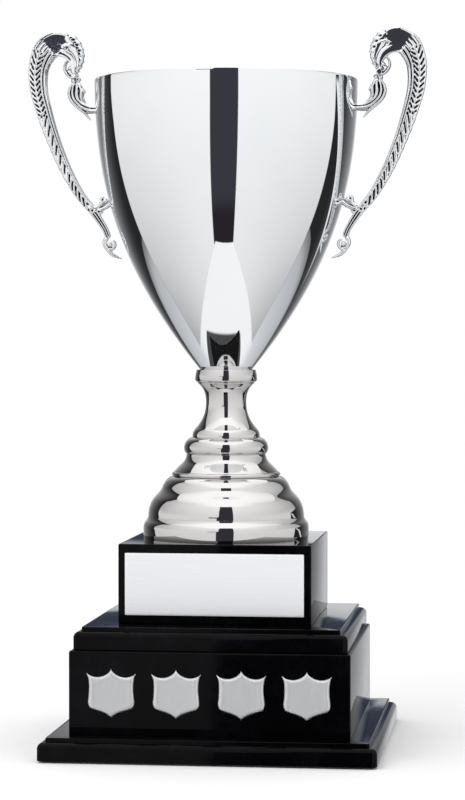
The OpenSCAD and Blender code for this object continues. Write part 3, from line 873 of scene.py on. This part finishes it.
def add_base(black):
    def add_board(node, vertices, faces, cutters):
        mesh = cut(vertices, faces, cutters, node)
        add_mesh(node + "_lacquered", mesh, black, [node])

    cutters = bores(CORNERS, WIDE_BORE, Z_BOARD - 1, Z_BOARD + 2)
    cutters += bores(CORNERS, SCREW_BORE, Z_BOARD + 1, Z_PLINTH + 1)
    add_board("base_board", *moulded_board(high("base_board")[0], Z_BOARD), cutters)

    cutters = bores([(0, 0)], ROD_HOLE, Z_CAP - 1, Z_BLOCK + 1)
    cutters += bores(CORNERS, WIDE_BORE, Z_CAP - 1, Z_CAP + 10.05)
    cutters += bores(BESIDE_ROD, WIDE_BORE, Z_CAP - 1, Z_CAP + 2)
    cutters += bores(BESIDE_ROD, SCREW_BORE, Z_CAP + 1, Z_BLOCK + 1)
    add_board("plinth_cap", *moulded_board(high("plinth_cap")[0], Z_CAP), cutters)

    half = high("upper_block")[0]
    edge = edge_arc(0.8, 0.8, 0.8, -90, 0, 5) + edge_arc(0.9, Z_FOOT - Z_BLOCK - 0.9, 0.9, 0, 90, 7)
    rings = [square_ring(half - inset, max(0.4, 1.3 - inset * 0.5), Z_BLOCK + up, 8) for inset, up in edge]
    cutters = bores([(0, 0)], ROD_HOLE, Z_BLOCK - 1, Z_FOOT + 1)
    cutters += bores(BESIDE_ROD, SCREW_BORE, Z_BLOCK - 1, Z_CAP + 40.1)
    add_board("upper_block", *loft(rings), cutters)

    outer = high("plinth_right")[0]
    inner = outer - PANEL_THICK
    top = Z_CAP - Z_PLINTH
    edge = edge_arc(0.5, 0.5, 0.5, -90, 0, 4) + edge_arc(1.5, top - 1.5, 1.5, 0, 90, 9)
    for name, turn in (("front", 0), ("right", 90), ("back", 180), ("left", 270)):
        c, s = math.cos(math.radians(turn)), math.sin(math.radians(turn))
        rings = []
        for inset, up in edge:
            ring = square_ring(outer - inset, 1.2, Z_PLINTH + up, 13)[:, :2]
            quarter = np.array([p for p in ring if -p[1] >= abs(p[0]) - 1e-6])
            quarter = quarter[np.argsort(quarter[:, 0])]
            flat = np.vstack([quarter, [[inner, -inner], [-inner, -inner]]])
            turned = flat @ np.array([[c, s], [-s, c]])
            rings.append(at_height(turned, Z_PLINTH + up))
        add_piece(f"plinth_{name}_lacquered", *loft(rings), black, "black_lacquer", ["plinth_" + name])


def add_felt(material):
    """A felt sheet with a slightly uneven cut edge and a matted surface"""
    half = high("base_felt")[0]
    thick = high("base_felt")[2]
    count = 77
    u = np.linspace(-1, 1, count)
    x, y = np.meshgrid(u, u, indexing="ij")
    wave = 0.18 * np.sin(x * 31 + 1.3) * np.sin(y * 27) + 0.12 * np.sin(x * 67) * np.sin(y * 59 + 0.7)
    edge_x = half - 0.25 + 0.2 * np.sin(y * 43)
    edge_y = half - 0.25 + 0.2 * np.sin(x * 39 + 1)
    px, py = x * edge_x, y * edge_y
    border = (np.abs(x) > 0.999) | (np.abs(y) > 0.999)
    top = np.where(border, thick * 0.72, thick - 0.02)
    bottom = np.where(border, thick * 0.28, 0.06 + 0.05 * wave)
    upper = np.stack([px, py, top], -1).reshape(-1, 3)
    lower = np.stack([px, py, bottom], -1).reshape(-1, 3)
    total = count * count
    index = np.arange(total).reshape(count, count)
    a, b, c, d = index[:-1, :-1], index[1:, :-1], index[1:, 1:], index[:-1, 1:]
    quads = np.stack([a, b, c, d], -1).reshape(-1, 4)
    faces = quads.tolist() + (quads[:, ::-1] + total).tolist()
    loop = np.concatenate([index[:-1, 0], index[-1, :-1], index[:0:-1, -1], index[0, :0:-1]])
    for k, m in zip(loop, np.roll(loop, -1)):
        faces.append([k, k + total, m + total, m])
    piece = add_piece("base_felt_sheet", np.vstack([upper, lower]), faces, material, "felt", ["base_felt"])


# ---- plates ----

SHIELD_THICK = 1.6


def shield_outline():
    """A shield with a pointed top, hollow shoulders and an ogee foot, around its middle"""
    side = path(
        (0, 17.8), ((3.6, 11.5), (12.1, 10.2), (17.5, 15)), ((15.2, 11), (15.2, 3), (16.3, -5)),
        ((16.5, -9), (15.4, -10.9), (13, -11.5)), ((9, -13.2), (4.5, -13.4), (0, -17.8)), steps=26,
    ) * [1, 34 / 35.6]
    return np.vstack([side, (side[1:-1] * [-1, 1])[::-1]])


def distance_to(points, outline):
    """Distance of each point from a closed outline"""
    best = np.full(len(points), 1e9)
    for start, step in zip(outline, np.roll(outline, -1, 0) - outline):
        t = np.clip(((points - start) @ step) / max(step @ step, 1e-12), 0, 1)
        best = np.minimum(best, np.hypot(*(points - start - t[:, None] * step).T))
    return best


def pressed_plate(outline, height_of, step):
    """A plate in X and Z, its back at y 0, whose front face has a height for each distance from its edge"""
    x, z = [np.arange(a, b, step) for a, b in zip(outline.min(0), outline.max(0))]
    grid = np.stack(np.meshgrid(x, z), -1).reshape(-1, 2)
    count = len(outline)
    points = [Vector(p) for p in outline] + [Vector(p) for p in grid[inside_outline(grid, outline)]]
    flat, _, faces, *_ = delaunay_2d_cdt(points, [], [list(range(count))], 1, 1e-5)
    flat = np.array([tuple(p) for p in flat])
    away = distance_to(flat, outline)
    front = np.column_stack([flat[:, 0], -height_of(away), flat[:, 1]])
    total = len(front)
    all_faces = [list(f) for f in faces]
    nearest = [int(np.argmin(np.hypot(*(flat - p).T))) for p in outline]
    for k in range(count):
        m = (k + 1) % count
        all_faces.append([nearest[k], nearest[m], total + m, total + k])
    all_faces.append([total + k for k in range(count)])
    return np.vstack([front, at_depth(outline, 0)]), all_faces


def inside_outline(points, outline):
    x, y = points.T
    inside = np.zeros(len(points), bool)
    for (x0, y0), (x1, y1) in zip(outline, np.roll(outline, -1, 0)):
        if y0 == y1:
            continue
        crosses = (y0 > y) != (y1 > y)
        inside ^= crosses & (x < (x1 - x0) * (y - y0) / (y1 - y0) + x0)
    return inside & (distance_to(points, outline) > 0.25)


def shield_height(away):
    """How far the shield's face stands out at a distance from its edge: a rolled rim, then a flat field"""
    slope = np.clip(away / 2.6, 0, 1)
    dome = np.sqrt(np.clip(1 - (1 - slope) ** 2, 0, 1))
    return 0.35 + (SHIELD_THICK - 0.35) * dome * (1 - 0.10 * window(away, 3.2, 99, 2.5))


def add_plates(shield_metal, header_metal):
    vertices, faces = pressed_plate(shield_outline(), shield_height, 0.75)
    for number in (1, 2, 3, 4):
        node = f"year_shield_{number}"
        middle = (low(node) + high(node)) / 2
        placed = vertices + [middle[0], high(node)[1], middle[2]]
        add_piece(node + "_pressed", placed, faces, shield_metal, "year_shields", [node], 50)

    lo, hi = low("header_plate"), high("header_plate")
    half_w, half_h = (hi[0] - lo[0]) / 2, (hi[2] - lo[2]) / 2
    deep = hi[1] - lo[1]
    rings = []
    for inset, up in [(0.05, 0), (0, 0.12), (0, deep - 0.35), (0.1, deep - 0.12), (0.35, deep), (1.6, deep)]:
        flat = rectangle_ring(half_w - inset, half_h - inset, 0.6) + [0, (lo[2] + hi[2]) / 2]
        rings.append(at_depth(flat, hi[1] - up))
    add_piece("header_plate_brushed", *loft(rings), header_metal, "header_plate", ["header_plate"])


def rectangle_ring(half_w, half_h, corner):
    """A rectangle of rounded corners about the origin"""
    points = []
    for k, (sx, sy) in enumerate(((1, 1), (-1, 1), (-1, -1), (1, -1))):
        turn = k * math.pi / 2 + np.linspace(0, math.pi / 2, 5)
        points.append(circle(corner, turn, sx * (half_w - corner), sy * (half_h - corner)))
    return np.vstack(points)


# ---- fasteners inside the bowl ----

SCREW_HEIGHTS = (189.0, 122.5)   # above the bowl's bottom
THREAD_LENGTH = 18
THREAD_PITCH = 1.25


def rod_outline(bottom, top):
    """A rod of 8 mm with a thread at its upper end"""
    z = top - THREAD_LENGTH
    outline = [(0.01, bottom), (3.3, bottom), (4.0, bottom + 0.8), (4.0, z)]
    while z < top - 1.6:
        outline += [(3.45, z + 0.15), (3.45, z + 0.3), (4.0, z + 0.72), (4.0, z + 0.86)]
        z += THREAD_PITCH
    outline += [(3.9, top - 0.7), (3.2, top), (0.01, top)]
    return np.array(outline)


def hexagon_nut(bottom, top):
    """A chamfered nut of 13 mm across flats, without its bore"""
    turn = around(48)
    hexagon = 7.5 * math.cos(math.pi / 6) / np.cos((turn + math.pi / 6) % (math.pi / 3) - math.pi / 6)
    height = top - bottom
    half = [(0, 6.5), (0.35, 7.0), (0.9, 7.5)]
    rings = []
    for up, limit in half + [(height - up, limit) for up, limit in half[::-1]]:
        rings.append(at_height(circle(np.minimum(hexagon, limit), turn), bottom + up))
    return loft(rings)


def placed_screw(v, h, sign):
    """The screw's vertices, laid square to the bowl at this height and turned to the right or left"""
    slope = (bowl_radius(Z_BOWL + h + 2) - bowl_radius(Z_BOWL + h - 2)) / 4
    tilt = math.radians(90) + math.atan(slope)
    x, y, z = v.T
    c, s = math.cos(tilt), math.sin(tilt)
    spun = np.stack([x * c + z * s, y, z * c - x * s], 1) + [bowl_radius(Z_BOWL + h), 0, Z_BOWL + h]
    return spun * [sign, sign, 1]


def add_fasteners(steel):
    rod = lathe_mesh(rod_outline(low("tie_rod")[2], high("tie_rod")[2]), 64)
    add_piece("tie_rod_threaded", *rod, steel, "zinc_steel", ["tie_rod"])

    bottom, top = low("bowl_nut")[2], high("bowl_nut")[2]
    mesh = cut(*hexagon_nut(bottom, top), bores([(0, 0)], WIDE_BORE, bottom - 1, top + 1), "nut")
    add_mesh("bowl_nut_chamfered", mesh, steel, ["bowl_nut"])
    under = low("bowl_washer")[2]
    washer = rounded(np.array([(4.3, under), (8, under), (8, bottom), (4.3, bottom)]), 0.25)
    add_piece("bowl_washer_blanked", *lathe_mesh(washer, 96), steel, "zinc_steel", ["bowl_washer"])

    v, f = pan_head_screw()
    screws = joined([(placed_screw(v, h, sign), f) for sign in (1, -1) for h in SCREW_HEIGHTS])
    add_piece("handle_screws_pan_head", *screws, steel, "zinc_steel", ["handle_screws"])


def pan_head_screw():
    """An M4 screw along +Z whose washer face is 2.35 under the bowl's outer skin, with a cross recess"""
    seat = SHEET + 0.15 + 1.0
    head = [(0.01, 8.0), (1.6, 8.0), (2.0, 7.6), (2.0, -seat), (3.75, -seat)]
    head += [(3.8 * math.cos(a) ** 0.6, -seat - 0.9 - 1.5 * math.sin(a)) for a in np.linspace(0, 1.35, 9)]
    head += [(0.01, -seat - 2.4)]
    v, f = lathe_mesh(np.array(head), 48)
    a, b = 0.35, 1.9
    quarter = [(-a, b), (a, b), (a, a)]
    arms = []
    for _ in range(4):
        arms += quarter
        quarter = [(y, -x) for x, y in quarter]
    cross = [at_height(np.array(arms) * k, -seat - z) for k, z in ((0.55, 1.0), (1.0, 2.6))]
    mesh = cut(v, f, [cross], "screw")
    return points_of(mesh) / MM, [list(p.vertices) for p in mesh.polygons]


# ---- studio ----

def reflected(n):
    """The colour that polished surfaces see in each direction. Angles are in degrees: turn goes from the
    side of the lens to the right in the picture, and rise goes up."""
    ray = [(0, n.add("ShaderNodeTexCoord", out="Generated"))]
    dx, dy, dz = (n.add("ShaderNodeSeparateXYZ", ray, axis) for axis in "XYZ")
    cosine, sine = math.cos(AZIMUTH), math.sin(AZIMUTH)
    right = n.plus(n.times(dx, cosine), n.times(dy, sine))
    front = n.minus(n.times(dx, sine), n.times(dy, cosine))
    turn = n.times(n.math("ARCTAN2", right, front), 180 / math.pi)
    rise = n.times(n.math("ARCSINE", dz), 180 / math.pi)
    side = n.size(turn)
    side2 = n.math("POWER", n.ratio(side, 110), 2)
    to_right = n.ramp(turn, -1, 1)
    above = n.ramp(rise, 6, 11)
    down = n.larger(n.times(rise, -1), 0)
    up = n.larger(rise, 0)

    # Side panels: brightest beside the lens, dimmer to their outer edges and towards the floor
    right_edge = n.plus(n.slope(down, 0, 50, 110.8, 97.3), n.times(above, 19))
    left_edge = n.plus(n.slope(down, 0, 50, 117.6, 104), n.slope(up, 0, 4, 0, 2.5))
    panel = n.ramp(n.minus(side, n.blend(to_right, left_edge, right_edge)), 0.6, -0.6)
    dimmer = n.minus(1, n.times(side2, n.ramp(rise, 4, 14, 0.10, 0.38)))
    level = n.times(dimmer, n.plus(0.96, n.times(up, 0.006)))
    fade = n.times(down, n.plus(0.0022, n.times(side2, 0.0075)))
    level = n.larger(n.minus(level, fade), 0.3)

    # The dark gap between them, wider to the left at the height of the handles' heads
    gap_left = n.plus(n.slope(down, 0, 42, -13.8, -15.6), n.times(above, 3))
    at_heads = n.times(n.ramp(rise, 5.82, 5.88), n.ramp(rise, 8.3, 8.0))
    gap_left = n.plus(n.times(gap_left, n.minus(1, at_heads)), n.times(at_heads, -26))
    gap_right = n.slope(down, 0, 42, 10.3, 9.2)
    gap = n.times(n.ramp(n.minus(turn, gap_left), -0.5, 0.5), n.ramp(n.minus(turn, gap_right), 0.4, -0.4))
    panels = n.times(panel, n.minus(1, gap), level)

    # The room behind the panels: dark beside them, brighter to the far side, dim where the tops of
    # the boards mirror it
    behind = n.minus(1, panel)
    glow = n.times(n.math("POWER", n.slope(side, 119, 180), 1.7), 0.65)
    glow = n.plus(glow, n.slope(side, 158, 178, 0, 0.3))
    low_down = n.ramp(rise, -24, -6, n.ramp(to_right, 0, 1, 0.2, 0.5), 1.0)
    board_band = n.times(n.ramp(rise, 3.9, 4.7), n.ramp(rise, 12, 8.5), n.ramp(side, 167, 172))
    lit = n.plus(n.times(glow, low_down), 0.02)
    room = n.times(behind, n.blend(board_band, lit, n.ramp(side, 124, 150, 0.02, 0.11)))
    line = n.size(n.minus(n.plus(turn, n.times(rise, 1.1)), 119))
    line = n.times(n.ramp(line, 2.5, 1.7), n.times(n.ramp(rise, -22, -12), n.ramp(rise, 5.5, 4.5)))
    walls = n.plus(panels, n.larger(room, n.times(line, 0.85)))

    # The floor, with a bright carpet towards the lens and a dark table on it
    depth = n.larger(n.times(dz, -1), 0.02)
    ahead, across = n.ratio(front, depth), n.ratio(right, depth)
    shifted = n.plus(across, n.slope(ahead, 0.5, 1.0, 0, 0.04))
    beside = n.plus(n.size(shifted), n.times(ahead, 0.435))
    carpet = n.times(n.ramp(ahead, 1.10, 1.08), n.times(n.ramp(beside, 0.72, 0.69), n.ramp(rise, -41, -42)))
    beyond = n.times(behind, n.ramp(n.minus(rise, n.slope(side, 116, 140, -21.8, -25)), 0.5, -0.5))
    floor_mask = n.larger(carpet, beyond)
    floor_level = n.plus(n.ramp(rise, -22, -29, 0.22, 0.5), n.slope(rise, -29, -60, 0, 0.25))
    floor_level = n.blend(n.times(carpet, n.ramp(ahead, -0.3, 0.1)), floor_level, 0.95)
    table = n.times(
        n.ramp(n.plus(ahead, n.times(across, across, 0.55)), 0.37, 0.35),
        n.ramp(n.minus(n.times(ahead, 0.4), across), 0.605, 0.59),
        n.ramp(n.plus(n.times(ahead, 0.55), across), 0.535, 0.52),
        n.ramp(rise, -50, -55),
    )
    floor_level = n.blend(table, floor_level, 0.07)

    # The ceiling, dark at the back along its middle, with a bright strip
    lean = n.ratio(n.size(right), n.larger(dz, 0.02))
    back = n.ratio(n.times(front, -1), n.larger(dz, 0.02))
    dark_back = n.times(n.ramp(back, 0.75, 0.85), n.ramp(lean, 0.17, 0.2))
    ceiling = n.times(n.ramp(lean, 0.3, 1.3, 1.42, 0.8), n.blend(dark_back, 1.0, 0.12))
    roof = n.ramp(rise, 45.1, 45.9)
    strip = n.times(n.ramp(lean, 0.19, 0.165), n.ramp(rise, 20, 28), n.ramp(back, 0, 0.1))
    level = n.blend(roof, n.blend(floor_mask, walls, floor_level), ceiling)
    level = n.larger(level, n.times(strip, 1.2))

    # Tints: a cold room, blue boards, and a violet gap
    tint = n.mix(n.times(behind, n.ramp(rise, 30, 12)), WHITE, (0.985, 1.0, 1.03))
    tint = n.mix(n.times(behind, board_band), tint, (0.75, 0.90, 1.35))
    total = n.mix(1.0, tint, n.grey(level), "MULTIPLY")
    dark = n.times(gap, n.times(n.minus(1, floor_mask), n.minus(1, roof)))
    in_gap = n.mix(n.ramp(rise, -26, -34), (0.042, 0.041, 0.054), (0.022, 0.017, 0.022))
    return n.mix(dark, total, in_gap)


def add_world():
    """Bright panels to the left and right with a dark gap at the lens, a strip overhead and a dim room
    behind. Only polished surfaces see them; the eye sees white and matt surfaces get even light."""
    n = Nodes(bpy.data.worlds.new("studio"))
    polished = n.colored("ShaderNodeBackground", reflected(n))
    even = n.colored("ShaderNodeBackground", WHITE)
    glossy = n.add("ShaderNodeLightPath", out="Is Glossy Ray")
    bpy.context.scene.world = n.out("World", n.choice(glossy, even, polished))


def add_stage():
    """A pale floor that fades into the white of the room, and one soft light"""
    radii = (20, 100, 200, 400, 800, 1600, 4000)
    vertices, faces = loft([at_height(circle(radius, around(96)), 0) for radius in radii])
    n = new_material("floor")
    matt = n.colored("ShaderNodeBsdfDiffuse", (0.93, 0.93, 0.935))
    white = n.colored("ShaderNodeEmission", WHITE)
    place = [(0, n.add("ShaderNodeTexCoord", out="Object"))]
    length = n.add("ShaderNodeVectorMath", place, "Value", operation="LENGTH")
    fade = n.ramp(length, 0.25, 1.1)
    mesh = mesh_of("floor", vertices, faces[:-1])
    mesh.materials.append(n.out("Material", n.choice(fade, matt, white)))
    floor = linked("floor", mesh)
    floor.visible_glossy = False

    data = bpy.data.lights.new("soft_key", "AREA")
    light = linked("soft_key", configured(data, shape="DISK", size=1.6, energy=14))
    light.location = (-0.9, -1.1, 2.0)
    light.rotation_euler = (Vector((0, 0, 0.2)) - light.location).to_track_quat("-Z", "Y").to_euler()
    light.visible_glossy = False


add_camera()
add_world()
add_stage()

chrome = plated("bowl_chrome", (0.93, 0.945, 0.955), (0.905, 0.925, 0.945), 0.02)
nickel = plated("stem_nickel", (0.70, 0.685, 0.68), (0.66, 0.645, 0.64), 0.022)
# handle plate: its last colour is the painted shade for the recesses of the relief
bright = cast_plate_painted_shade("handle_chrome_painted_shade", (0.94, 0.95, 0.96), (0.90, 0.92, 0.94), (0.012, 0.012, 0.018))
black = lacquer("black_lacquer")
steel = turned_steel("zinc_steel", (0.56, 0.58, 0.60), (0.42, 0.44, 0.47), 0.24)
yellow = turned_steel("yellow_zinc", (0.62, 0.46, 0.16), (0.50, 0.38, 0.22), 0.26)
header_metal = satin_plate("header_silver", (0.92, 0.93, 0.95), (0.88, 0.89, 0.92), (0.04, 1, 1), 0.55, 0.35)
shield_metal = satin_plate("shield_silver", (0.84, 0.85, 0.86), (0.78, 0.79, 0.80), (1, 1, 0.1), 0.5)
pine = bare_wood("pale_wood", (0.55, 0.38, 0.21), (0.36, 0.22, 0.11))
beech = bare_wood("dowel_beech", (0.62, 0.44, 0.28), (0.48, 0.31, 0.18))
ivory = moulded_plastic("ivory_insert", (0.72, 0.68, 0.56), (0.60, 0.56, 0.45))
tape = moulded_plastic("white_tape", (0.78, 0.78, 0.76), (0.66, 0.66, 0.64))

add_cup(chrome, nickel)
add_handles(bright)
add_base(black)
add_felt(felt("base_felt"))
add_plates(shield_metal, header_metal)
add_fasteners(steel)

CARRIED = {
    "handle_washers": steel, "base_nut": steel, "base_washer": steel,
    "foot_insert": ivory, "header_plate_tape": tape, "shield_tapes": tape,
    "block_screws": yellow, "base_screws": yellow, "corner_blocks": pine, "cap_dowels": beech,
}
for node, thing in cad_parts.items():
    wooden = "plinth" in node or "board" in node or "block" in node
    thing.data.materials.clear()
    thing.data.materials.append(CARRIED.get(node, black if wooden else nickel))

bpy.context.scene.view_settings.view_transform = "Standard"
